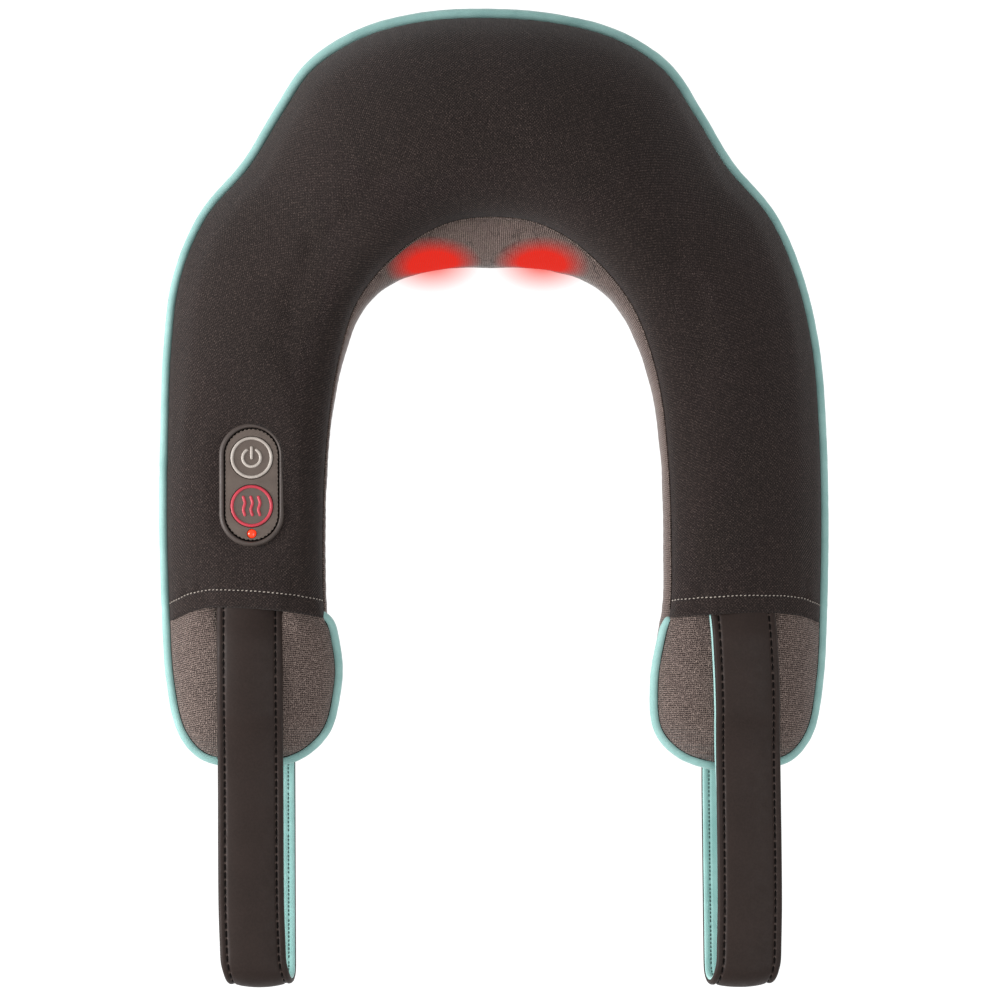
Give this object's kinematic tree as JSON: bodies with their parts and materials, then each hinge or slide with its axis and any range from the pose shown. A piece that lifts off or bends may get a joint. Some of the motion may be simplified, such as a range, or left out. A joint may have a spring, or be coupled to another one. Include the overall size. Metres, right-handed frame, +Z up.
{
  "type": "shiatsu neck massager",
  "caption": "Stuffed horseshoe neck massager with heated turning heads behind the neck wall, a button control on one arm and hand strap loops.",
  "frame": {"origin": "centre of the whole object's box at the surface it lies on, under the underside", "axes": "+X to the right arm, +Y towards the neck end, +Z up out of the dark cover"},
  "size_m": [0.337, 0.4902, 0.084],
  "materials": {
    "knit_dark": "matte",
    "ribbed_taupe": "matte",
    "piping_aqua": "satin",
    "foam": "matte",
    "strap_leatherette": "satin",
    "lining_aqua": "satin",
    "control_rubber": "matte",
    "control_plastic": "satin",
    "lens_red": "gloss",
    "housing_plastic": "matte",
    "board_green": "satin",
    "wire_black": "satin",
    "steel": "satin",
    "motor_steel": "satin",
    "nylon_white": "satin",
    "bush_brass": "satin",
    "node_plastic": "gloss",
    "heat_lamp": "gloss"
  },
  "bodies": {
    "cushion": {"outer_cover": "knit_dark", "inner_cover": "ribbed_taupe", "end_pocket_left": "ribbed_taupe", "end_pocket_right": "ribbed_taupe", "edge_piping": "piping_aqua", "neck_foam": "foam", "arm_foam_left": "foam", "arm_foam_right": "foam", "strap_root_left": "strap_leatherette", "strap_root_lining_left": "lining_aqua", "strap_root_right": "strap_leatherette", "strap_root_lining_right": "lining_aqua", "control_bezel": "control_rubber", "jack_grommet": "control_rubber", "control_face": "control_plastic", "indicator_lens": "lens_red", "status_light": "lens_red", "control_tray": "housing_plastic", "power_switch": "housing_plastic", "heat_switch": "housing_plastic", "power_jack": "housing_plastic", "gearbox_rear_shell": "housing_plastic", "gearbox_front_cover": "housing_plastic", "control_board": "board_green", "jack_lead": "wire_black", "motor_lead": "wire_black", "gearbox_screw_1": "steel", "gearbox_screw_2": "steel", "gearbox_screw_3": "steel", "gearbox_screw_4": "steel", "motor_can": "motor_steel", "motor_end_cap": "nylon_white", "worm_end_bush": "bush_brass", "front_bush_left": "bush_brass", "front_bush_right": "bush_brass", "rear_bush_left": "bush_brass", "rear_bush_right": "bush_brass", "heat_lamp_left": "heat_lamp", "heat_lamp_right": "heat_lamp"},
    "head_left": {"worm_wheel_left": "nylon_white", "output_shaft_left": "steel", "head_carrier_left": "nylon_white", "massage_node_left_1": "node_plastic", "massage_node_left_2": "node_plastic"},
    "head_right": {"worm_wheel_right": "nylon_white", "output_shaft_right": "steel", "head_carrier_right": "nylon_white", "massage_node_right_1": "node_plastic", "massage_node_right_2": "node_plastic"},
    "motor_rotor": {"worm_shaft": "steel", "motor_rotor": "motor_steel"},
    "power_button": {"power_button": "control_plastic"},
    "heat_button": {"heat_button": "control_plastic"},
    "strap_left": {"strap_loop_left": "strap_leatherette", "strap_loop_lining_left": "lining_aqua"},
    "strap_right": {"strap_loop_right": "strap_leatherette", "strap_loop_lining_right": "lining_aqua"}
  },
  "joints": [
    {"name": "head_left_spin", "type": "hinge", "parent": "cushion", "child": "head_left", "pos_m": [-0.028, 0.163, 0.044], "axis": [0, 0.5736, 0.8192], "continuous": true},
    {"name": "head_right_spin", "type": "hinge", "parent": "cushion", "child": "head_right", "pos_m": [0.028, 0.163, 0.044], "axis": [0, 0.5736, 0.8192], "continuous": true},
    {"name": "motor_spin", "type": "hinge", "parent": "cushion", "child": "motor_rotor", "pos_m": [0, 0.16644, 0.04892], "axis": [0, 0.8192, -0.5736], "continuous": true},
    {"name": "power_press", "type": "slide", "parent": "cushion", "child": "power_button", "axis": [0, 0, -1], "range_m": [0, 0.0008], "stiffness_N_per_m": 600, "springref_m": -0.0004},
    {"name": "heat_press", "type": "slide", "parent": "cushion", "child": "heat_button", "axis": [0, 0, -1], "range_m": [0, 0.0008], "stiffness_N_per_m": 600, "springref_m": -0.0004},
    {"name": "strap_left_lift", "type": "hinge", "parent": "cushion", "child": "strap_left", "pos_m": [-0.124, -0.137, 0.0238], "axis": [-1, 0, 0], "range_deg": [0, 80]},
    {"name": "strap_right_lift", "type": "hinge", "parent": "cushion", "child": "strap_right", "pos_m": [0.124, -0.137, 0.0238], "axis": [-1, 0, 0], "range_deg": [0, 80]}
  ],
  "couplings": [
    {"joint": "head_right_spin", "follows": "head_left_spin", "ratio": -1},
    {"joint": "motor_spin", "follows": "head_left_spin", "ratio": 46}
  ]
}
